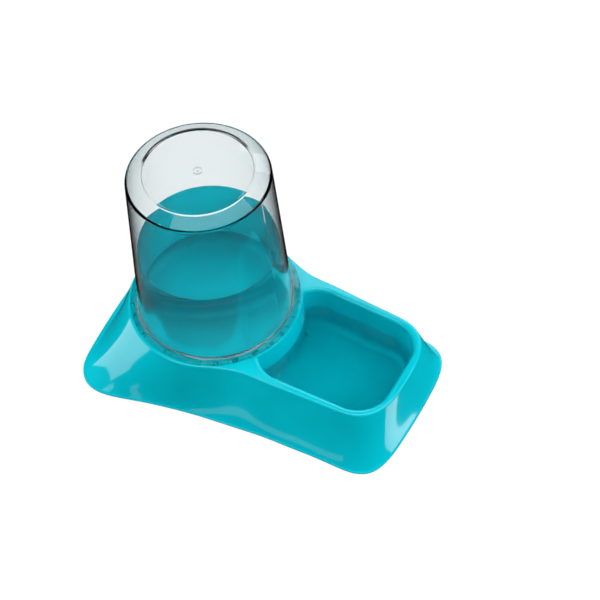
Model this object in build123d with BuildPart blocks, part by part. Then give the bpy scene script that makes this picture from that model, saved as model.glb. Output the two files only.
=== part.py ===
from build123d import *
import math
import os

# Gravity pet feeder: a moulded base with a bowl at one end and a round seat at the
# other, and a clear cup that stands upside down in the seat. Lengths in millimetres,
# +Z up, +X towards the bowl, feet on the plane z = 0, origin under the middle.

# Height of the base and the thickness of its moulding
top_height = 48.0
skirt_clearance = 1.0
shell_wall = 2.4
rim_depth = 5.0
rim_edge_radius = 1.8
floor_top = 4.4
lip_height = 1.2
lip_width = 0.5

# Collar that the reservoir stands on, with the well inside it
collar_radius = 69.0
collar_draft = 4.0
collar_foot_radius = 5.0
collar_wall = 5.8
well_floor_fillet = 6.0
well_mouth_chamfer = 0.6

# Slot at the foot of the collar, where water runs from the well into the bowl
outlet_width = 44.0
outlet_height = 7.0
outlet_overlap = 6.0

# Bowl, its wall line at the top measured from the seat axis
bowl_tuck = 14.5
bowl_end = 162.5
bowl_start_half_width = 46.0
bowl_end_half_width = 43.0
bowl_corner_radius = 25.5
bowl_draft = 6.0
bowl_floor_fillet = 9.0
bowl_edge_radius = 3.0

# Flare of the skirt: mostly straight, with a share that sweeps out near the floor
flare_sweep = 0.16
flare_power = 5

# Stations round the collar: angle from the back, distance of the top edge beyond the
# collar, and how far the foot of the skirt stands out from the top edge in x and y
collar_stations = [
    (0, 0.0, -20.2, 0.0),
    (15, 0.0, -20.9, 5.1),
    (30, 0.0, -25.6, 10.0),
    (41, 0.0, -30.6, 19.2),
    (49, 0.0, -32.4, 30.6),
    (57, 0.0, -31.2, 34.6),
    (66, 0.0, -28.4, 33.1),
    (77, 0.0, -25.5, 27.1),
    (90, 0.0, -20.5, 19.6),
    (104, 0.0, -12.2, 15.6),
    (118, 0.0, -4.4, 17.1),
    (128.7, 3.0, 1.5, 19.2),
    (137, 9.0, 5.5, 20.0),
]
# Stations along the bowl: share of the way to its corner, rim width, flare in x and y
side_stations = [
    (0.17, 7.1, 7.0, 18.3),
    (0.41, 6.5, 8.0, 17.9),
    (0.66, 5.8, 8.5, 17.7),
    (0.86, 5.3, 9.5, 18.2),
]
# Stations round the bowl's corner: place from where its end and side walls would meet
corner_stations = [
    (-12.5, 3.5, 10.0, 18.9),
    (-2.7, -3.2, 9.6, 19.8),
    (3.1, -13.0, 9.4, 18.0),
    (6.1, -27.0, 9.1, 10.0),
]
end_rim = 6.8
end_flare = 9.0

# Reservoir, a drafted cup standing on its mouth
cup_height = 145.5
cup_wall = 2.2
disc_radius = 39.4
disc_recess = 0.8
disc_land = 1.4
shoulder_radius = 2.5
shoulder_drop = 5.6
cup_top_radius = 52.6
cup_foot_step = 1.1
flange_inset = 1.8
flange_thickness = 2.2
flange_edge_radius = 0.8
neck_gap = 1.0
neck_wall = 3.6
mouth_height = 28.5
mouth_chamfer = 1.0
gate_radius = 3.4
gate_line = 0.6
pip_radius = 0.5
pip_inset = 1.0
pip_angle = 119.0
guide_rib_count = 16
guide_rib_start = -4.0
guide_rib_width = 2.4
guide_rib_gap = 0.4

# Seal ring in a groove of the neck, with its clearances
seal_height = 3.2
seal_drop = 11.6
seal_neck_gap = 0.3
seal_axial_gap = 0.1
seal_bore_gap = 0.05
groove_depth = 1.6
seal_edge_radius = 0.7

# Push-in rubber feet and the bosses that take them
pad_height = 2.8
pad_radius = 6.5
pad_taper = 0.8
pad_dimple = 0.6
pad_land = 1.6
stem_chamfer = 0.6
stem_radius = 3.0
stem_length = 6.0
stem_end_gap = 1.0
boss_radius = 6.8
back_foot_angle = 51.6
back_foot_gap = 22.8
bowl_foot_back = 5.5
bowl_foot_out = 7.0

# Ribs under the shell
rib_thickness = 1.8
rib_floor_gap = 1.6
rib_reach = 60.0
rib_angles = [112, 146, 180, 214, 248]

# Sizes that follow from those above
well_radius = collar_radius - collar_wall
bowl_start = collar_radius - bowl_tuck
skirt_drop = top_height - skirt_clearance
bowl_depth = top_height - floor_top
bowl_reach = bowl_end + end_rim + end_flare
back_reach = collar_radius - collar_stations[0][2]

# The seat axis lies off the middle, because the bowl end is the longer one
seat_x = -(bowl_reach - back_reach) / 2


# Half width of the bowl's wall line at a distance from the seat axis
def bowl_half_width(x):
    narrowing = (bowl_start_half_width - bowl_end_half_width) / (bowl_end - bowl_start)
    return bowl_start_half_width - narrowing * (x - bowl_start)


# One side of the base as rows of top x, top y, foot x, foot y from the seat axis
side = []
for angle, beyond, flare_x, flare_y in collar_stations:
    turn = math.radians(angle)
    top_x = -(collar_radius + beyond) * math.cos(turn)
    top_y = (collar_radius + beyond) * math.sin(turn)
    side.append((top_x, top_y, top_x + flare_x, top_y + flare_y))
join_x = side[-1][0]
corner_x = bowl_end + corner_stations[0][0]
for share, rim_width, flare_x, flare_y in side_stations:
    top_x = join_x + share * (corner_x - join_x)
    top_y = bowl_half_width(top_x) + rim_width
    side.append((top_x, top_y, top_x + flare_x, top_y + flare_y))
for along, out, flare_x, flare_y in corner_stations:
    top_x = bowl_end + along
    top_y = bowl_end_half_width + out
    side.append((top_x, top_y, top_x + flare_x, top_y + flare_y))
around = [(tx, -ty, fx, -fy) for tx, ty, fx, fy in side]
around.append((bowl_end + end_rim, 0.0, bowl_reach, 0.0))
around += [(tx, ty, fx, fy) for tx, ty, fx, fy in reversed(side[1:])]


# Share of the flare reached at a depth below the top, both running from 0 to 1
def flare(depth):
    return (1 - flare_sweep) * depth + flare_sweep * depth**flare_power


# How fast the flare grows at that depth
def flare_rate(depth):
    return (1 - flare_sweep) + flare_sweep * flare_power * depth ** (flare_power - 1)


# Closed row of points around the base at one depth, drawn in square to the surface
def ring_points(depth, inset):
    share = flare(depth)
    row = [(tx + (fx - tx) * share, ty + (fy - ty) * share) for tx, ty, fx, fy in around]
    points = []
    for i, (x, y) in enumerate(row):
        ahead = row[(i + 1) % len(row)]
        behind = row[i - 1]
        length = math.hypot(ahead[0] - behind[0], ahead[1] - behind[1])
        out_x = (ahead[1] - behind[1]) / length
        out_y = -(ahead[0] - behind[0]) / length
        tx, ty, fx, fy = around[i]
        slope = math.hypot(fx - tx, fy - ty) / skirt_drop * flare_rate(depth)
        shift = inset * math.hypot(1, slope)
        points.append((seat_x + x - shift * out_x, y - shift * out_y))
    return points


lower_depths = [0.28, 0.56, 0.8, 1.0]
bowl_mouth = [
    (seat_x + bowl_start, bowl_start_half_width),
    (seat_x + bowl_start, -bowl_start_half_width),
    (seat_x + bowl_end, -bowl_end_half_width),
    (seat_x + bowl_end, bowl_end_half_width),
]
back_foot_x = seat_x - (collar_radius + back_foot_gap) * math.cos(math.radians(back_foot_angle))
back_foot_y = (collar_radius + back_foot_gap) * math.sin(math.radians(back_foot_angle))
bowl_foot_x = seat_x + bowl_end - bowl_foot_back
bowl_foot_y = bowl_end_half_width + bowl_foot_out
foot_places = {
    "foot_back_far": (back_foot_x, back_foot_y),
    "foot_back_near": (back_foot_x, -back_foot_y),
    "foot_bowl_far": (bowl_foot_x, bowl_foot_y),
    "foot_bowl_near": (bowl_foot_x, -bowl_foot_y),
}

# Bowl with its wall and floor, as a solid tub
with BuildPart() as tub:
    with BuildSketch(Plane.XY.offset(top_height)) as tub_mouth:
        Polygon(*bowl_mouth, align=None)
        fillet(tub_mouth.vertices(), bowl_corner_radius)
        offset(amount=shell_wall, kind=Kind.ARC)
    extrude(amount=-bowl_depth - shell_wall, taper=bowl_draft)
    fillet(tub.faces().sort_by(Axis.Z)[0].edges(), bowl_floor_fillet + shell_wall)
    with BuildSketch(Plane.XY.offset(top_height)):
        with Locations((seat_x, 0)):
            Circle(collar_radius - shell_wall)
    extrude(amount=-bowl_depth - shell_wall, taper=-collar_draft, mode=Mode.SUBTRACT)

# Collar wall that stands in the bowl, with its rounded foot on a thin floor
wall_foot = collar_radius + bowl_depth * math.tan(math.radians(collar_draft))
foot_floor = wall_foot + 2 * collar_foot_radius
collar_profile = [
    (0, top_height),
    (collar_radius, top_height),
    (wall_foot, floor_top),
    (foot_floor, floor_top),
    (foot_floor, floor_top - shell_wall),
    (0, floor_top - shell_wall),
]
with BuildPart() as collar:
    with BuildSketch(Plane.XZ) as collar_section:
        with Locations((seat_x, 0)):
            Polygon(*collar_profile, align=None)
        foot_corner = (seat_x + wall_foot, floor_top, 0)
        fillet(collar_section.vertices().sort_by_distance(foot_corner)[0], collar_foot_radius)
    revolve(axis=Axis((seat_x, 0, 0), (0, 0, 1)))

# Room inside the bowl, rolled over at its top edge, with the collar standing in it
with BuildPart() as bowl_room:
    with BuildSketch(Plane.XY.offset(top_height)) as room_mouth:
        Polygon(*bowl_mouth, align=None)
        fillet(room_mouth.vertices(), bowl_corner_radius)
    extrude(amount=-bowl_depth, taper=bowl_draft)
    fillet(bowl_room.faces().sort_by(Axis.Z)[0].edges(), bowl_floor_fillet)
    with BuildSketch(Plane.XY.offset(top_height)) as room_brim:
        Polygon(*bowl_mouth, align=None)
        fillet(room_brim.vertices(), bowl_corner_radius)
        offset(amount=bowl_edge_radius + shell_wall, kind=Kind.ARC)
    extrude(amount=shell_wall)
    brim_under = bowl_room.faces().filter_by(Plane.XY).sort_by(Axis.Z)[1]
    fillet(brim_under.inner_wires().edges(), bowl_edge_radius)
    add(collar.part, mode=Mode.SUBTRACT)

# Air under the shell: the skirt drawn in by its wall, less all that hangs in it
outlet_start = well_radius - outlet_overlap - shell_wall
outlet_end = wall_foot + outlet_overlap
outlet_middle = seat_x + (outlet_start + outlet_end) / 2
with BuildPart() as hollow:
    for depth in [rim_depth / skirt_drop] + lower_depths:
        with BuildSketch(Plane.XY.offset(top_height - depth * skirt_drop)):
            with BuildLine():
                Spline(*ring_points(depth, shell_wall), periodic=True)
            make_face()
    loft()
    add(tub.part, mode=Mode.SUBTRACT)
    with BuildSketch(Plane.XY.offset(floor_top - shell_wall)):
        with Locations((seat_x, 0)):
            Circle(well_radius + shell_wall)
    extrude(amount=top_height, mode=Mode.SUBTRACT)
    with BuildSketch(Plane.XY.offset(floor_top - shell_wall)):
        with Locations((outlet_middle, 0)):
            Rectangle(outlet_end - outlet_start, outlet_width + 2 * shell_wall)
    extrude(amount=outlet_height + 2 * shell_wall, mode=Mode.SUBTRACT)
    with BuildSketch(Plane.XY.offset(pad_height)):
        with Locations(*foot_places.values()):
            Circle(boss_radius)
    extrude(amount=top_height, mode=Mode.SUBTRACT)
    with BuildSketch(Plane.XY.offset(skirt_clearance + rib_floor_gap)):
        for angle in rib_angles:
            with Locations(Location((seat_x, 0, 0), (0, 0, angle))):
                with Locations((well_radius + rib_reach / 2, 0)):
                    Rectangle(rib_reach, rib_thickness)
    extrude(amount=top_height, mode=Mode.SUBTRACT)

# Room of the well, rounded at its floor and eased at its mouth
well_profile = [
    (0, floor_top),
    (well_radius, floor_top),
    (well_radius, top_height - well_mouth_chamfer),
    (well_radius + well_mouth_chamfer, top_height),
    (0, top_height),
]
with BuildPart() as well_room:
    with BuildSketch(Plane.XZ) as well_section:
        with Locations((seat_x, 0)):
            Polygon(*well_profile, align=None)
        well_corner = (seat_x + well_radius, floor_top, 0)
        fillet(well_section.vertices().sort_by_distance(well_corner)[0], well_floor_fillet)
    revolve(axis=Axis((seat_x, 0, 0), (0, 0, 1)))

# Base: one thin-walled moulding with skirt, collar, well, outlet and bowl
with BuildPart() as base_shell:
    for depth in [0.0] + lower_depths:
        with BuildSketch(Plane.XY.offset(top_height - depth * skirt_drop)):
            with BuildLine():
                Spline(*ring_points(depth, 0.0), periodic=True)
            make_face()
    loft()
    fillet(base_shell.faces().sort_by(Axis.Z)[-1].edges(), rim_edge_radius)
    with BuildSketch(Plane.XY.offset(skirt_clearance)):
        with BuildLine():
            Spline(*ring_points(1.0, -lip_width), periodic=True)
        make_face()
    extrude(amount=lip_height)
    add(hollow.part, mode=Mode.SUBTRACT)
    add(bowl_room.part, mode=Mode.SUBTRACT)
    add(well_room.part, mode=Mode.SUBTRACT)
    with BuildSketch(Plane.XY.offset(floor_top)):
        with Locations((outlet_middle, 0)):
            Rectangle(outlet_end - outlet_start, outlet_width)
    extrude(amount=outlet_height, mode=Mode.SUBTRACT)
    with BuildSketch(Plane.XY.offset(pad_height)):
        with Locations(*foot_places.values()):
            Circle(stem_radius)
    extrude(amount=stem_length + stem_end_gap, mode=Mode.SUBTRACT)
base_shell.part.label = "base_shell"

# Clear cup with its flange, neck and seal groove
cup_top = top_height + cup_height
flange_top = top_height + flange_thickness
flange_radius = collar_radius - flange_inset
neck_radius = well_radius - neck_gap
cup_foot_radius = neck_radius - cup_foot_step
neck_inner = neck_radius - neck_wall
groove_radius = neck_radius - groove_depth
seal_bottom = top_height - seal_drop
seal_top = seal_bottom + seal_height
disc_height = cup_top - disc_recess
corner_height = cup_top - shoulder_drop
inner_corner_height = corner_height - cup_wall / 2
cup_profile = [
    (0, disc_height),
    (disc_radius, disc_height),
    (disc_radius + disc_recess, cup_top),
    (disc_radius + disc_recess + disc_land, cup_top),
    (cup_top_radius, corner_height),
    (cup_foot_radius, flange_top),
    (flange_radius, flange_top),
    (flange_radius, top_height),
    (neck_radius, top_height),
    (neck_radius, seal_top + seal_axial_gap),
    (groove_radius, seal_top + seal_axial_gap),
    (groove_radius, seal_bottom - seal_axial_gap),
    (neck_radius, seal_bottom - seal_axial_gap),
    (neck_radius, mouth_height + mouth_chamfer),
    (neck_radius - mouth_chamfer, mouth_height),
    (neck_inner, mouth_height),
    (neck_inner, top_height),
    (cup_top_radius - cup_wall, inner_corner_height),
    (disc_radius + disc_land, disc_height - cup_wall),
    (0, disc_height - cup_wall),
]
with BuildPart() as reservoir:
    with BuildSketch(Plane.XZ) as cup_section:
        with Locations((seat_x, 0)):
            Polygon(*cup_profile, align=None)
        outer_shoulder = (seat_x + cup_top_radius, corner_height, 0)
        fillet(cup_section.vertices().sort_by_distance(outer_shoulder)[0], shoulder_radius)
        inner_shoulder = (seat_x + cup_top_radius - cup_wall, inner_corner_height, 0)
        fillet(cup_section.vertices().sort_by_distance(inner_shoulder)[0], shoulder_radius - cup_wall)
        flange_root = (seat_x + cup_foot_radius, flange_top, 0)
        fillet(cup_section.vertices().sort_by_distance(flange_root)[0], flange_edge_radius)
        flange_rim = (seat_x + flange_radius, flange_top, 0)
        fillet(cup_section.vertices().sort_by_distance(flange_rim)[0], flange_edge_radius)
    revolve(axis=Axis((seat_x, 0, 0), (0, 0, 1)))
    with BuildSketch(Plane.XY.offset(disc_height)):
        with Locations((seat_x, 0)):
            Circle(gate_radius)
            Circle(gate_radius - gate_line, mode=Mode.SUBTRACT)
            Circle(gate_line)
            with PolarLocations(disc_radius - pip_inset, 1, start_angle=pip_angle):
                Circle(pip_radius)
    extrude(amount=gate_line)
    with BuildSketch(Plane.XY.offset(seal_top + 2 * seal_axial_gap)):
        with Locations((seat_x, 0)):
            with PolarLocations(neck_radius, guide_rib_count, start_angle=guide_rib_start):
                Rectangle(2 * (neck_gap - guide_rib_gap), guide_rib_width)
    extrude(until=Until.NEXT)
reservoir.part.label = "reservoir"

# Soft ring that closes the gap between neck and well
with BuildPart() as seal_ring:
    with BuildSketch(Plane.XZ) as seal_section:
        with Locations((seat_x + groove_radius + seal_neck_gap, seal_bottom)):
            seal_width = well_radius - seal_bore_gap - groove_radius - seal_neck_gap
            Rectangle(seal_width, seal_height, align=(Align.MIN, Align.MIN))
        fillet(seal_section.vertices(), seal_edge_radius)
    revolve(axis=Axis((seat_x, 0, 0), (0, 0, 1)))
seal_ring.part.label = "seal_ring"

# One rubber foot: a tapered pad with a stem that pushes into its boss
foot_profile = [
    (0, pad_dimple),
    (pad_radius - pad_taper - pad_land, pad_dimple),
    (pad_radius - pad_taper - pad_land, 0),
    (pad_radius - pad_taper, 0),
    (pad_radius, pad_height),
    (stem_radius, pad_height),
    (stem_radius, pad_height + stem_length - stem_chamfer),
    (stem_radius - stem_chamfer, pad_height + stem_length),
    (0, pad_height + stem_length),
]
with BuildPart() as foot:
    with BuildSketch(Plane.XZ):
        Polygon(*foot_profile, align=None)
    revolve(axis=Axis.Z)

os.makedirs("parts", exist_ok=True)
export_step(base_shell.part, "parts/base_shell.step")
export_step(reservoir.part, "parts/reservoir.step")
export_step(seal_ring.part, "parts/seal_ring.step")
for name, (foot_x, foot_y) in foot_places.items():
    placed = Pos(foot_x, foot_y, 0) * foot.part
    placed.label = name
    export_step(placed, f"parts/{name}.step")
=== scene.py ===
# %% [markdown]
# This lesson dresses a gravity pet feeder: a glossy teal base with a bowl, and a
# clear cup of water that stands upside down in it. The solid parts come from the
# construction model, which the script loads as a fixed frame and never moves. What
# is made here is their finish, the water, the light and the camera.

# %% The frame
import math

import bpy
from mathutils import Matrix, Vector


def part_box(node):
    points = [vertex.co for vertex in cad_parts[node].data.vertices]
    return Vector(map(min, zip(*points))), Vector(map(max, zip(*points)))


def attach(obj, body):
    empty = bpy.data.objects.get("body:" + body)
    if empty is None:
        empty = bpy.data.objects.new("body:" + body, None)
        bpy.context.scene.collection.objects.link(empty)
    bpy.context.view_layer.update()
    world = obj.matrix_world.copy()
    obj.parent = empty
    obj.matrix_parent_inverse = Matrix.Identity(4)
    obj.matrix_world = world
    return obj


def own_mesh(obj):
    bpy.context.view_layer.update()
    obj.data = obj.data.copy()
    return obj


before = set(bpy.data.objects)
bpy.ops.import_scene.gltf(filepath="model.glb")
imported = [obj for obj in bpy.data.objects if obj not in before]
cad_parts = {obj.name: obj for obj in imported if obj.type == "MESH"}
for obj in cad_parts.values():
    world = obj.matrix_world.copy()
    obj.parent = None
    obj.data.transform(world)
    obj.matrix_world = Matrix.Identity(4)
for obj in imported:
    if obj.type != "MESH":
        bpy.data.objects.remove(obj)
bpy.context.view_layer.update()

# %% [markdown]
# Shader maths reads best as ordinary sums. Each Math node could be added and linked
# by hand, but nobody could read the recipe afterwards. Here a small class wraps one
# output of a node and adds a Math node for every sign written between two of them.
# A comparison gives a mask: one where it holds, and nothing elsewhere.

# %% A socket that can be calculated with
class Signal:
    def __init__(self, recipe, socket):
        self.recipe = recipe
        self.socket = socket

    def math(self, operation, *values):
        return self.recipe.add("Math", {"operation": operation}, *values)

    def __add__(self, other):
        return self.math("ADD", self, other)

    def __sub__(self, other):
        return self.math("SUBTRACT", self, other)

    def __rsub__(self, other):
        return self.math("SUBTRACT", other, self)

    def __mul__(self, other):
        return self.math("MULTIPLY", self, other)

    def __pow__(self, other):
        return self.math("POWER", self, other)

    def __abs__(self):
        return self.math("ABSOLUTE", self)

    def __lt__(self, other):
        return self.math("LESS_THAN", self, other)

    def __gt__(self, other):
        return self.math("GREATER_THAN", self, other)

    def larger(self, other):
        return self.math("MAXIMUM", self, other)

    def near(self, value, margin):
        return self.math("COMPARE", self, value, margin)

    __radd__ = __add__
    __rmul__ = __mul__


print("signals can be added, multiplied and compared")

# %% [markdown]
# A recipe is one material, or the world. It could be a long list of new nodes and
# links, but one method that adds any node keeps it short. The settings go in first,
# because they decide which sockets the node has, and then the sockets are given
# numbers, colours or the outputs of other nodes.

# %% A recipe that adds any node
class Recipe:
    def __init__(self, owner):
        owner.use_nodes = True
        self.tree = owner.node_tree
        self.tree.nodes.clear()

    def add(self, kind, settings=None, *values, **named):
        node = self.tree.nodes.new("ShaderNode" + kind)
        for name, value in (settings or {}).items():
            if name == "stops":
                self.set_stops(node.color_ramp, value)
            else:
                setattr(node, name, value)
        pairs = list(enumerate(values))
        pairs += [(name.replace("_", " "), value) for name, value in named.items()]
        for key, value in pairs:
            self.fill(node.inputs[key], value)
        shown = [s for s in node.outputs if s.enabled]
        return Signal(self, shown[0]) if shown else None

    def output(self, signal, name):
        return Signal(self, signal.socket.node.outputs[name])

    def fill(self, socket, value):
        if isinstance(value, Signal):
            self.tree.links.new(value.socket, socket)
        else:
            socket.default_value = value

    def set_stops(self, ramp, stops):
        while len(ramp.elements) > 1:
            ramp.elements.remove(ramp.elements[-1])
        for i, (place, colour) in enumerate(stops):
            element = ramp.elements[0] if i == 0 else ramp.elements.new(place)
            element.position = place
            element.color = colour


print("a recipe can add any shader node")

# %% [markdown]
# The colours here are given as screen values, while a shader works with amounts
# of light. This converts one to the other, so that a teal can be written as it looks.

# %% Screen colour to light
def light_of(red, green, blue):
    def channel(value):
        share = value / 255
        return share / 12.92 if share <= 0.04045 else ((share + 0.055) / 1.055) ** 2.4

    return (channel(red), channel(green), channel(blue), 1.0)


print("middle grey on the screen is", round(light_of(128, 128, 128)[0], 3), "as light")

# %% [markdown]
# The camera and the lamps are all given by where they stand in the sky, as seen from
# the feeder. The heading is counted from the front, which is -Y, towards the bowl
# end, which is +X. The elevation is counted up from the ground.

# %% A direction in the sky
def sky(heading, elevation):
    turn = math.radians(heading)
    rise = math.radians(elevation)
    return Vector((math.sin(turn) * math.cos(rise), -math.cos(turn) * math.cos(rise), math.sin(rise)))


print("straight up is", tuple(round(v, 3) for v in sky(0, 90)))

# %% [markdown]
# The photograph was taken from above, over the near corner of the bowl. A camera can
# be placed by eye, but then every outline is a little off. This one was fitted to
# the round collar, the cup's top, the bowl's rim and the ground edge. The fit gives
# its heading, its elevation, a small roll, its distance and its lens.

# %% Camera
frame_pixels = 600
sensor_width = 36.0
focal_pixels = 1380.5
camera_heading = 32.61
camera_elevation = 52.78
camera_roll = math.radians(-3.75)
camera_distance = 1.1437
nearest_seen = 0.05
farthest_seen = 50.0
reservoir_low, reservoir_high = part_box("reservoir")
seat = Vector(((reservoir_low.x + reservoir_high.x) / 2, 0.0, 0.0))
target = seat + Vector((0.0415, 0.0579, 0.0))

back = sky(camera_heading, camera_elevation)
level_right = sky(camera_heading + 90, 0)
level_up = back.cross(level_right)
right = math.cos(camera_roll) * level_right + math.sin(camera_roll) * level_up
up = math.cos(camera_roll) * level_up - math.sin(camera_roll) * level_right

camera_data = bpy.data.cameras.new("camera")
camera_data.sensor_width = sensor_width
camera_data.lens = focal_pixels / frame_pixels * sensor_width
camera_data.clip_start = nearest_seen
camera_data.clip_end = farthest_seen
camera = bpy.data.objects.new("camera", camera_data)
bpy.context.scene.collection.objects.link(camera)
stand = Matrix((right, up, back)).transposed().to_4x4()
stand.translation = target + back * camera_distance
camera.matrix_world = stand
bpy.context.scene.camera = camera
print("camera at", tuple(round(v, 3) for v in stand.translation), "lens", round(camera_data.lens, 1), "mm")

# %% [markdown]
# The finish of the base and the water in it have to agree on where the water is.
# These sizes are shared by both. The cup's box gives the seat's axis and the height
# of its mouth, and the others are those of the drawing. Lengths along the base are
# counted from the seat's axis.

# %% Sizes shared by the finish and the water
mm = 0.001
collar_top = 48.0 * mm
well_radius = 63.2 * mm
well_floor = 4.4 * mm
bowl_start = 54.5 * mm
bowl_end = 162.5 * mm
bowl_start_half = 46.0 * mm
bowl_end_half = 43.0 * mm
mouth_height = reservoir_low.z
bowl_level = mouth_height + 0.2 * mm
print("neck reaches down to", round(mouth_height / mm, 2), "mm")
print("bowl water is", round((bowl_level - well_floor) / mm, 1), "mm deep")

# %% [markdown]
# Two masks below need to know where a point lies about the seat. A texture image
# could mark the places, but the position itself is exact and needs no unwrapping.
# So the position is taken apart into the distance along the base, the distance
# across it, the height, and the radius from the seat's axis.

# %% Where a point lies about the seat
def about_seat(recipe, place):
    split = recipe.add("SeparateXYZ", Vector=place)
    along = split - seat.x
    across = recipe.output(split, "Y")
    height = recipe.output(split, "Z")
    radius = (along * along + across * across) ** 0.5
    return along, across, height, radius


print("seat axis is", round(-seat.x / mm, 2), "mm behind the middle of the feeder")

# %% [markdown]
# Under water the base hardly shines, because water and plastic bend light almost
# alike. The wet part could be a second material on faces cut along the water line,
# but the solid may not be cut. A mask does it instead: everything lower than the
# water, inside the well or inside the bowl.

# %% The wet part of the base
well_margin = 2.0 * mm
bowl_margin = 1.0 * mm


def wet_mask(recipe, place):
    along, across, height, radius = about_seat(recipe, place)
    under = height < bowl_level
    in_well = radius < well_radius + well_margin
    in_length = (along > bowl_start) * (along < bowl_end + bowl_margin)
    in_bowl = in_length * (abs(across) < bowl_start_half + bowl_margin)
    return under * in_well.larger(in_bowl)


print("wet below", round(bowl_level / mm, 2), "mm")

# %% [markdown]
# The base is one injection moulding in glossy coloured plastic. One flat colour
# would look like paint. On the real thing the melt leaves faint broad clouds, and
# the polished tool leaves a skin whose gloss wanders a little. A ripple far too
# shallow to see by itself breaks the edge of every reflection, which is what makes
# it read as plastic. The wet part is the same plastic with almost no shine.

# %% Teal plastic
dry_bending = 1.5
wet_bending = 1.02
polish = 0.04
cloud_haze = 0.04
speck_haze = 0.03
speck_height = 0.01


def make_teal():
    material = bpy.data.materials.new("teal_moulding")
    recipe = Recipe(material)
    place = recipe.add("NewGeometry")
    clouds = recipe.add("TexNoise", Vector=place, Scale=22.0, Detail=3.0, Roughness=0.5)
    specks = recipe.add("TexNoise", Vector=place, Scale=900.0, Detail=2.0, Roughness=0.6)
    ripple = recipe.add("TexNoise", Vector=place, Scale=65.0, Detail=2.0, Roughness=0.4)
    colour = recipe.add(
        "ValToRGB",
        {"stops": [
            (0.3, light_of(0, 176, 192)),
            (0.5, light_of(0, 184, 200)),
            (0.7, light_of(0, 190, 206)),
        ]},
        clouds,
    )
    haze = polish + cloud_haze * clouds + speck_haze * specks
    bump = recipe.add("Bump", Strength=0.04, Distance=0.0004, Height=ripple + speck_height * specks)
    dry = recipe.add("BsdfPrincipled", Base_Color=colour, Roughness=haze, IOR=dry_bending, Normal=bump)
    wet = recipe.add("BsdfPrincipled", Base_Color=colour, Roughness=haze, IOR=wet_bending, Normal=bump)
    surface = recipe.add("MixShader", None, wet_mask(recipe, place), dry, wet)
    recipe.add("OutputMaterial", Surface=surface)
    return material


teal = make_teal()
print("made", teal.name)

# %% [markdown]
# The cup is clear, hard plastic. It could be faked with plain transparency, but
# nearly all that the eye sees of a clear cup is the dark and bright lines that its
# walls bend together, so real refraction is worth its render time. The colour is
# almost none, with a breath of blue.
#
# The cup's flange rests on the collar face to face. Two surfaces in one place stop
# each other's light, and the flange would turn black. So the clear face is left out
# by Alpha in that ring, at the one height where the two can touch.

# %% Clear plastic
cup_bending = 1.52
wipe_haze = 0.02
contact_depth = 0.02 * mm


def make_clear():
    material = bpy.data.materials.new("clear_cup")
    recipe = Recipe(material)
    place = recipe.add("NewGeometry")
    flow = recipe.add("TexNoise", Vector=place, Scale=40.0, Detail=2.0, Roughness=0.5)
    wipe = recipe.add("TexNoise", Vector=place, Scale=140.0, Detail=3.0, Roughness=0.6)
    colour = recipe.add(
        "ValToRGB",
        {"stops": [(0.3, light_of(252, 254, 254)), (0.7, light_of(254, 255, 255))]},
        flow,
    )
    bump = recipe.add("Bump", Strength=0.03, Distance=0.0003, Height=flow)
    _, _, height, radius = about_seat(recipe, place)
    contact = height.near(collar_top, contact_depth) * (radius > well_radius)
    surface = recipe.add(
        "BsdfPrincipled",
        Base_Color=colour,
        Roughness=wipe_haze * wipe,
        IOR=cup_bending,
        Specular_IOR_Level=0.25,
        Transmission_Weight=1.0,
        Alpha=1 - contact,
        Normal=bump,
    )
    recipe.add("OutputMaterial", Surface=surface)
    return material


clear = make_clear()
print("made", clear.name)

# %% [markdown]
# The seal ring is milky silicone, and the feet are dark rubber with a fine tooth
# that keeps them from sliding. Both are one kind of finish with other numbers: a
# soft bloom that changes the colour and the shine, and a grain in the bump. So one
# function makes both.

# %% Two rubbers
bloom_haze = 0.1


def make_rubber(name, dark, pale, roughness, tooth):
    material = bpy.data.materials.new(name)
    recipe = Recipe(material)
    place = recipe.add("NewGeometry")
    grain = recipe.add("TexNoise", Vector=place, Scale=1200.0, Detail=4.0, Roughness=0.65)
    bloom = recipe.add("TexNoise", Vector=place, Scale=180.0, Detail=2.0, Roughness=0.5)
    colour = recipe.add("ValToRGB", {"stops": [(0.3, dark), (0.7, pale)]}, bloom)
    bump = recipe.add("Bump", Strength=tooth, Distance=0.0002, Height=grain)
    haze = roughness + bloom_haze * bloom
    surface = recipe.add("BsdfPrincipled", Base_Color=colour, Roughness=haze, Normal=bump)
    recipe.add("OutputMaterial", Surface=surface)
    return material


milky_dark = light_of(176, 200, 202)
milky_pale = light_of(196, 214, 215)
silicone = make_rubber("milky_silicone", milky_dark, milky_pale, roughness=0.4, tooth=0.1)
rubber_dark = light_of(38, 44, 47)
rubber_pale = light_of(54, 61, 64)
rubber = make_rubber("dark_rubber", rubber_dark, rubber_pale, roughness=0.65, tooth=0.5)
print("made", silicone.name, "and", rubber.name)

# %% [markdown]
# Each solid part gets one finish. Three are named, and what is left are the feet,
# which are all rubber.

# %% Finishes on the solid parts
finishes = {"base_shell": teal, "reservoir": clear, "seal_ring": silicone}
for name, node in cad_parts.items():
    node.data.materials.clear()
    node.data.materials.append(finishes.get(name, rubber))
print("finished", len(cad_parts), "nodes")

# %% [markdown]
# The photograph shows water in the bowl and half way up the cup. A flat sheet at the
# surface would be quick, but a ray could then leave the water through a wall without
# being bent. Here the water is a clear solid to the renderer: a closed mesh that
# refracts. A slow swell in its bump keeps the surface from looking machined.

# %% Water material
water_bending = 1.333


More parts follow.
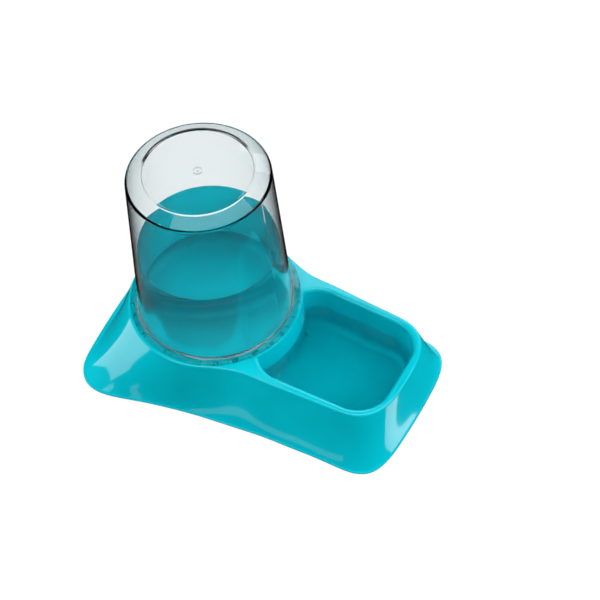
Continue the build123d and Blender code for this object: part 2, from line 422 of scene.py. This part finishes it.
def make_water():
    material = bpy.data.materials.new("water")
    recipe = Recipe(material)
    place = recipe.add("NewGeometry")
    swell = recipe.add("TexNoise", Vector=place, Scale=12.0, Detail=1.0, Roughness=0.4)
    tint = recipe.add(
        "ValToRGB",
        {"stops": [(0.3, light_of(253, 255, 255)), (0.7, light_of(254, 255, 255))]},
        swell,
    )
    bump = recipe.add("Bump", Strength=0.02, Distance=0.0004, Height=swell)
    surface = recipe.add(
        "BsdfPrincipled",
        Base_Color=tint,
        Roughness=0.0,
        IOR=water_bending,
        Specular_IOR_Level=0.3,
        Transmission_Weight=1.0,
        Normal=bump,
    )
    recipe.add("OutputMaterial", Surface=surface)
    return material


water = make_water()
print("made", water.name)

# %% [markdown]
# Every body of water is a stack of rings with four-sided faces between them. Smooth
# shading alone would also round off the edge between a wall and the flat surface,
# and then the whole surface bends light as if it were a lens. Marking edges as sharp
# from an angle up keeps the flat faces flat and the round ones round.

# %% A water mesh from rings of points
sharp_angle = math.radians(35)


def ring_faces(rings, count):
    faces = []
    for ring in range(rings - 1):
        low = ring * count
        high = low + count
        for step in range(count):
            following = (step + 1) % count
            faces.append((low + step, low + following, high + following, high + step))
    return faces


def water_piece(name, points, faces):
    mesh = bpy.data.meshes.new(name)
    mesh.from_pydata(points, [], faces)
    mesh.update()
    mesh.shade_smooth()
    mesh.set_sharp_from_angle(angle=sharp_angle)
    piece = bpy.data.objects.new(name, mesh)
    bpy.context.scene.collection.objects.link(piece)
    piece.data.materials.append(water)
    print(name, "has", len(points), "points and", len(faces), "faces")
    return piece


# %% [markdown]
# The water in the cup and in the well under it is round. A Screw modifier could turn
# its profile. Working out the rings takes a few more lines, and it leaves a plain
# mesh whose two ends are closed round a middle point. A profile is a list of radii
# and heights, from the middle of the underside to the middle of the top.

# %% Turned shapes
turn_steps = 160


def turned(name, profile):
    points = []
    for radius, height in profile[1:-1]:
        for step in range(turn_steps):
            angle = 2 * math.pi * step / turn_steps
            points.append((seat.x + radius * math.cos(angle), radius * math.sin(angle), height))
    rings = len(profile) - 2
    faces = ring_faces(rings, turn_steps)
    for height, ring, downward in ((profile[0][1], 0, True), (profile[-1][1], rings - 1, False)):
        middle = len(points)
        points.append((seat.x, 0.0, height))
        for step in range(turn_steps):
            here = ring * turn_steps + step
            following = ring * turn_steps + (step + 1) % turn_steps
            faces.append((middle, following, here) if downward else (middle, here, following))
    return water_piece(name, points, faces)


# %% [markdown]
# Water climbs a little where it meets a wall, and that narrow curved edge draws the
# line of the water in a clear cup. A flat surface would meet the wall with hardly a
# line. The climb is highest at the wall and dies away within a few millimetres, as an
# exponential does. The rings that follow it are given in shares of its reach.

# %% The climb at a wall
cup_climb = 0.8 * mm
reach = 2.0 * mm
fading = 3.0
climb_steps = [0.12, 0.3, 0.55, 0.9, 1.4, 2.2, 3.4]


def climb_at(distance):
    return cup_climb * math.exp(-fading * distance / reach)


print("one reach from the wall the water stands", round(climb_at(reach) / mm, 3), "mm up")

# %% [markdown]
# In the cup the water stands a hair clear of the clear wall, because two refracting
# faces in one place confuse the renderer. The gap is wide enough to clear the flat
# facets of the round wall too.
#
# Lifting the cup lets its water run out. The water could lift away with the cup, but
# it would hang there without a floor. So it rides on the base instead.

# %% Water in the cup
wall_gap = 0.18 * mm
neck_inner = 58.6 * mm
cup_inner_top = 50.4 * mm
cup_inner_top_height = 186.8 * mm
cup_level = 114.8 * mm
cup_floor = mouth_height - 0.3 * mm


def cup_inside(height):
    share = (height - collar_top) / (cup_inner_top_height - collar_top)
    return neck_inner + (cup_inner_top - neck_inner) * max(share, 0.0)


neck_water = neck_inner - wall_gap
edge = cup_inside(cup_level + cup_climb) - wall_gap
profile = [(0.0, cup_floor), (neck_water, cup_floor), (neck_water, collar_top)]
profile.append((edge, cup_level + cup_climb))
for step in climb_steps:
    distance = step * reach
    profile.append((edge - distance, cup_level + climb_at(distance)))
profile.append((0.0, cup_level))
water_in_cup = turned("water_in_cup", profile)
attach(water_in_cup, "base")
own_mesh(water_in_cup)
print("cup holds", round(math.pi * edge**2 * (cup_level - mouth_height) * 1000, 2), "litres or so")

# %% [markdown]
# The well under the cup stays full when the cup is taken off. Its water reaches a
# little into the teal walls and floor, so that no gap shows between them. The
# rounded foot of the well is followed by an arc of the same fillet, made larger by
# the same bite.

# %% Water in the well
wall_bite = 0.25 * mm
well_fillet = 6.0 * mm
well_level = mouth_height - 0.05 * mm
arc_steps = 6
fillet_start = well_radius - well_fillet
fillet_centre = well_floor + well_fillet
profile = [(0.0, well_floor - wall_bite), (fillet_start, well_floor - wall_bite)]
for step in range(1, arc_steps + 1):
    angle = math.pi / 2 * step / arc_steps
    profile.append((
        fillet_start + (well_fillet + wall_bite) * math.sin(angle),
        fillet_centre - (well_fillet + wall_bite) * math.cos(angle),
    ))
profile += [(well_radius + wall_bite, well_level), (0.0, well_level)]
water_in_well = turned("water_in_well", profile)
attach(water_in_well, "base")

# %% [markdown]
# The bowl is a rounded tub that narrows a little towards its end, and its walls lean
# outwards so that it leaves the mould. Its water could be cut from a block with
# Boolean modifiers, but those often leave ragged edges where one round wall meets
# another. So the outline is worked out level by level. Half of it is enough: it
# starts in the middle of the end wall and goes along it, round a corner, back along
# the side and round the corner next to the seat.

# %% The bowl's wall at one inset
bowl_corner = 25.5 * mm
least_corner = 1.0 * mm
end_steps = 4
corner_steps = 24
side_steps = 24


def bowl_wall(inset):
    narrowing = (bowl_start_half - bowl_end_half) / (bowl_end - bowl_start)
    lean = math.atan(narrowing)
    centre_y = bowl_end_half - inset / math.cos(lean) + narrowing * inset
    radius = max(bowl_corner - inset, least_corner)
    middle_x = bowl_end - inset - radius
    middle_y = centre_y + narrowing * radius - radius / math.cos(lean)
    points = [(bowl_end - inset, 0.0)]
    for step in range(1, end_steps + 1):
        points.append((bowl_end - inset, middle_y * step / end_steps))
    end_turn = math.pi / 2 - lean
    for step in range(1, corner_steps + 1):
        angle = end_turn * step / corner_steps
        points.append((middle_x + radius * math.cos(angle), middle_y + radius * math.sin(angle)))
    last_x, last_y = points[-1]
    for step in range(1, side_steps + 1):
        x = last_x + (bowl_start + bowl_corner - last_x) * step / side_steps
        points.append((x, last_y + narrowing * (last_x - x)))
    start_x, start_y = points[-1]
    start_turn = math.pi / 2 + lean
    for step in range(1, corner_steps + 1):
        angle = end_turn + start_turn * step / corner_steps
        points.append((
            start_x - radius * math.sin(lean) + radius * math.cos(angle),
            start_y - radius * math.cos(lean) + radius * math.sin(angle),
        ))
    return points


print("half of the bowl's outline has", len(bowl_wall(0.0)), "points")

# %% [markdown]
# The rings of a stack need as many points each, in the same order, or their faces
# would twist. So the half outline is cut where it meets the round collar and then
# divided into equal lengths. The meeting point is found by halving: the stretch that
# crosses the collar is cut in two again and again, and the half with the crossing is
# kept.

# %% Cutting and dividing an outline
halvings = 40
shortest = 1e-9


def between(a, b, share):
    return (a[0] + (b[0] - a[0]) * share, a[1] + (b[1] - a[1]) * share)


def crossing(outer, inner, collar):
    low, high = 0.0, 1.0
    for _ in range(halvings):
        share = (low + high) / 2
        if math.hypot(*between(outer, inner, share)) < collar:
            high = share
        else:
            low = share
    return between(outer, inner, share)


def divided(points, count):
    lengths = [0.0]
    for a, b in zip(points, points[1:]):
        lengths.append(lengths[-1] + math.dist(a, b))
    even = []
    piece = 0
    for step in range(count + 1):
        wanted = lengths[-1] * step / count
        while piece < len(points) - 2 and lengths[piece + 1] < wanted:
            piece += 1
        share = (wanted - lengths[piece]) / max(lengths[piece + 1] - lengths[piece], shortest)
        even.append(between(points[piece], points[piece + 1], share))
    return even


print("a stretch is halved", halvings, "times")

# %% [markdown]
# A whole ring is the half outline, the collar's arc back across the middle, and the
# half outline mirrored. Under the collar is the outlet, through which the well feeds
# the bowl. There the arc steps back to the well, so that the way through is full of
# water too. Water that stopped at the outlet's mouth would end in a mirror-like wall.

# %% The bowl's outline with the collar standing in it
wall_points = 110
arc_points = 80
outlet_half = 22.0 * mm


def bowl_outline(inset, collar, mouth):
    wall = bowl_wall(inset)
    kept = []
    for a, b in zip(wall, wall[1:]):
        kept.append(a)
        if math.hypot(*b) < collar:
            kept.append(crossing(a, b, collar))
            break
    half = divided(kept, wall_points)
    corner = math.atan2(half[-1][1], half[-1][0])
    outline = list(half)
    for step in range(1, arc_points):
        angle = corner * (1 - 2 * step / arc_points)
        y = collar * math.sin(angle)
        radius = mouth if abs(y) < outlet_half + wall_bite else collar
        outline.append((math.sqrt(radius**2 - y**2), y))
    outline += [(x, -y) for x, y in reversed(half[1:])]
    return outline


print("a ring of the bowl's water has", 2 * wall_points + arc_points, "points")

# %% [markdown]
# The bowl's walls and the collar lean with their draft and are rounded at the foot.
# A table of measured radii would be long and would fit only this bowl. The draft and
# the fillet give the place of each wall at any height instead.

# %% Walls at each height
bowl_fillet = 9.0 * mm
bowl_draft = math.tan(math.radians(6.0))
collar_radius = 69.0 * mm
collar_fillet = 5.0 * mm
collar_draft = math.tan(math.radians(4.0))


def foot(fillet, above):
    if above >= fillet:
        return 0.0
    return fillet - math.sqrt(max(fillet**2 - (fillet - above) ** 2, 0.0))


def wall_inset(height):
    return (collar_top - height) * bowl_draft + foot(bowl_fillet, height - well_floor)


def collar_at(height):
    return collar_radius + (collar_top - height) * collar_draft + foot(collar_fillet, height - well_floor)


print("collar at the water line has a radius of", round(collar_at(bowl_level) / mm, 1), "mm")

# %% [markdown]
# The rings lie close together at the floor, where the fillet is almost flat, and
# wider apart above. Two more lie inside the plastic over the outlet, so that the
# water steps back under it where nobody can see. The well's own water begins behind
# a gap too thin to show. The surface is left flat, because a climb doesn't show
# against coloured plastic.

# %% Rings of the bowl's water
fillet_shares = (0.0, 0.02, 0.06, 0.12, 0.2, 0.3, 0.42, 0.56, 0.72, 0.88, 1.0)
wall_shares = (0.3, 0.6, 1.0)
outlet_height = 7.0 * mm
lintel_bite = 0.1 * mm
lintel_step = 0.02 * mm
water_gap = 0.05 * mm
fillet_top = well_floor + bowl_fillet
lintel = well_floor + outlet_height + wall_bite + lintel_bite
levels = [well_floor + bowl_fillet * share for share in fillet_shares]
levels += [fillet_top + (bowl_level - fillet_top) * share for share in wall_shares]
levels += [lintel, lintel + lintel_step]
levels.sort()

rings = []
for height in levels:
    collar = collar_at(height) - wall_bite
    mouth = well_radius + wall_bite + water_gap if height <= lintel else collar
    sunk = height - wall_bite if height < fillet_top else height
    outline = bowl_outline(wall_inset(height) - wall_bite, collar, mouth)
    rings.append([(seat.x + x, y, sunk) for x, y in outline])
print("bowl water has", len(rings), "rings")

# %% [markdown]
# The rings are joined into one closed piece, with a single flat face over the top
# and another over the floor. It rides on the base, whose bowl it fills.

# %% Water in the bowl
def lofted(name, rings):
    count = len(rings[0])
    last = (len(rings) - 1) * count
    points = [point for ring in rings for point in ring]
    faces = ring_faces(len(rings), count)
    faces.append(tuple(reversed(range(count))))
    faces.append(tuple(range(last, last + count)))
    return water_piece(name, points, faces)


water_in_bowl = lofted("water_in_bowl", rings)
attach(water_in_bowl, "base")

# %% [markdown]
# The feeder stands on plain white, in a studio that was dark except for its
# softboxes. A white room would fill every gloss with white, and the clear cup would
# lose the dark lines that draw it. The Light Path node tells what kind of ray asks
# for the background, so each kind can be given its own.
#
# The camera, and rays that pass straight through the clear parts, see white. Rays
# that mirror off a gloss see only a trace of it. Rays that mirror more than twice, as
# they do inside the edge of a clear wall, see half of it. The depths are whole
# numbers, so a limit that ends in a half sorts them safely.
#
# Light that reaches the teal plastic inside the cup comes through walls and water.
# Real ones gather it into bright patterns, which a path tracer hardly finds. So a
# ray that met the plastic and has crossed more than four clear faces is given extra.

# %% Which rays see which light
gloss_level = 0.01
piped_level = 0.5
inside_gain = 3.7
no_bounce = 0.5
two_mirrors = 2.5
four_faces = 4.5


class Rays:
    def __init__(self, recipe, inner_level):
        camera_ray = recipe.add("LightPath")
        self.through = recipe.output(camera_ray, "Is Transmission Ray")
        self.crossed = recipe.output(camera_ray, "Transmission Depth")
        mirrored = recipe.output(camera_ray, "Glossy Depth")
        diffuse = recipe.output(camera_ray, "Diffuse Depth")
        straight = mirrored + diffuse < no_bounce
        self.seen = camera_ray.larger(self.through * straight)
        self.scattered = diffuse > no_bounce
        glossy = recipe.output(camera_ray, "Is Glossy Ray")
        self.gloss = glossy * (1 - self.scattered) * (1 - self.seen)
        piped = (piped_level - inner_level) * (mirrored > two_mirrors)
        self.trace = gloss_level + (inner_level - gloss_level) * self.through + piped

    def gain(self):
        deep = self.crossed > four_faces
        return 1 + self.through * self.scattered * deep * (inside_gain - 1)


print("light inside the cup is raised", inside_gain, "times")

# %% [markdown]
# The floor is one large white sheet. To the camera it is mostly its own light, so
# that it comes out as white as the backdrop, with a little of the matt surface left
# in so that the feeder's shadow stays. Rays that bounce off the feeder find it much
# darker, because a white floor would light the skirt from below. Mirror rays pass it
# by and find the world instead. It casts no shadow, because some lamps stand lower
# than the table.

# %% Floor
floor_half = 6.0
floor_white = 0.93
floor_bounce = 0.155
floor_pale = 0.95
floor_inner_level = 0.03
corners = [(-1, -1), (1, -1), (1, 1), (-1, 1)]
floor_mesh = bpy.data.meshes.new("floor")
floor_mesh.from_pydata([(floor_half * x, floor_half * y, 0) for x, y in corners], [], [(0, 1, 2, 3)])
floor = bpy.data.objects.new("floor", floor_mesh)
bpy.context.scene.collection.objects.link(floor)
floor.visible_glossy = False
floor.visible_shadow = False


def make_floor():
    material = bpy.data.materials.new("pale_floor")
    recipe = Recipe(material)
    rays = Rays(recipe, floor_inner_level)
    tone = recipe.add(
        "Mix",
        {"data_type": "RGBA"},
        Factor=rays.seen,
        A=(floor_bounce, floor_bounce, floor_bounce, 1.0),
        B=(floor_pale, floor_pale, floor_pale, 1.0),
    )
    matt = recipe.add("BsdfPrincipled", Base_Color=tone, Roughness=0.9, Specular_IOR_Level=0.1)
    dark = recipe.add("Emission", Strength=0.0)
    white = recipe.add("Emission", Color=(1.0, 1.0, 1.0, 1.0), Strength=1.0)
    faint = recipe.add("MixShader", None, rays.trace, dark, white)
    plain = recipe.add("MixShader", None, floor_white * rays.seen, matt, white)
    surface = recipe.add("MixShader", None, rays.gloss, plain, faint)
    recipe.add("OutputMaterial", Surface=surface)
    return material


floor_mesh.materials.append(make_floor())
print("floor is", 2 * floor_half, "m wide")

# %% [markdown]
# The world lights the matt colour of everything. One even level would leave the base
# without form, so a low level is joined by three broad glows: from the bowl end, from
# the wing side and from overhead. Each is strongest in its own direction and fades
# with the square of the cosine, so no edge of it shows on the plastic.

# %% World
world_inner_level = 0.06
room_level = 0.08


def glow(recipe, direction, heading, elevation, level):
    nearness = recipe.add("VectorMath", {"operation": "DOT_PRODUCT"}, direction, sky(heading, elevation))
    facing = nearness.larger(0.0)
    return level * facing * facing


def make_world():
    world = bpy.data.worlds.new("studio")
    recipe = Recipe(world)
    rays = Rays(recipe, world_inner_level)
    direction = recipe.output(recipe.add("TexCoord"), "Generated")
    bowl_glow = glow(recipe, direction, heading=120, elevation=18, level=2.9)
    wing_glow = glow(recipe, direction, heading=-72, elevation=25, level=2.1)
    top_glow = glow(recipe, direction, heading=0, elevation=90, level=0.48)
    room = room_level + bowl_glow + wing_glow + top_glow
    matt_light = (1 - rays.seen - rays.gloss) * room * rays.gain()
    strength = rays.seen + rays.gloss * rays.trace + matt_light
    background = recipe.add("Background", Color=(1.0, 1.0, 1.0, 1.0), Strength=strength)
    recipe.add("OutputWorld", Surface=background)
    return world


bpy.context.scene.world = make_world()
print("made", bpy.context.scene.world.name)

# %% [markdown]
# Each softbox is an area lamp, given by where it stands in the sky, how wide and
# tall it looks in degrees, and how bright its face is. A lamp's power is that
# brightness times its area times pi. The softboxes show only as reflections, and the
# world does the rest, so each patch of shine can be set without changing the colour.
#
# The big one hangs almost overhead and draws the band on the cup's shoulder. Those
# below the table are the mirror images that its polished top gave the skirt. In the
# cup they would show as stray patches. So they, the one on the left and the strip at
# the front are linked to the base alone.

# %% Softboxes
aim = Vector((0.0, 0.0, 0.05))
base_only = bpy.data.collections.new("base_only")
base_only.objects.link(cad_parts["base_shell"])


def apparent_size(angle, distance):
    return 2 * distance * math.tan(math.radians(angle / 2))


def softbox(name, heading, elevation, distance, wide, tall, face, spin=0.0, base_alone=False):
    toward = sky(heading, elevation)
    data = bpy.data.lights.new(name, "AREA")
    data.shape = "RECTANGLE"
    data.size = apparent_size(wide, distance)
    data.size_y = apparent_size(tall, distance)
    data.energy = face * math.pi * data.size * data.size_y
    lamp = bpy.data.objects.new(name, data)
    facing = toward.to_track_quat("Z", "Y").to_matrix().to_4x4()
    spun = Matrix.Rotation(math.radians(spin), 4, "Z")
    lamp.matrix_world = Matrix.Translation(aim + toward * distance) @ facing @ spun
    lamp.visible_camera = False
    lamp.visible_transmission = False
    lamp.visible_diffuse = False
    if base_alone:
        lamp.light_linking.receiver_collection = base_only
    bpy.context.scene.collection.objects.link(lamp)
    print(name, "softbox measures", round(data.size, 2), "x", round(data.size_y, 2), "m")


softbox("top", 58, 80, distance=1.0, wide=60, tall=28, face=2.4)
softbox("left", -58, -1, distance=0.7, wide=48, tall=14, face=2.6, spin=10, base_alone=True)
softbox("right", 112, 34, distance=1.0, wide=36, tall=12, face=2.6)
softbox("right_mirror", 108, -34, distance=0.8, wide=22, tall=11, face=2.2, base_alone=True)
softbox("back", 190, 38, distance=1.0, wide=34, tall=30, face=2.0)
softbox("skirt_mirror", -8, -11, distance=0.8, wide=15, tall=6, face=0.8, base_alone=True)
softbox("front_strip", -25, 34, distance=1.0, wide=10, tall=50, face=1.6, base_alone=True)

# %% [markdown]
# The Standard view shows each colour as it is written. A ray may need many steps to
# get through the cup, the water and back, so the paths are allowed to be long. With
# short ones the inside of the cup would go black.

# %% View
path_steps = 24
mirror_steps = 12
bpy.context.scene.view_settings.view_transform = "Standard"
bpy.context.scene.cycles.max_bounces = path_steps
bpy.context.scene.cycles.transmission_bounces = path_steps
bpy.context.scene.cycles.glossy_bounces = mirror_steps
print("paths of up to", path_steps, "steps")
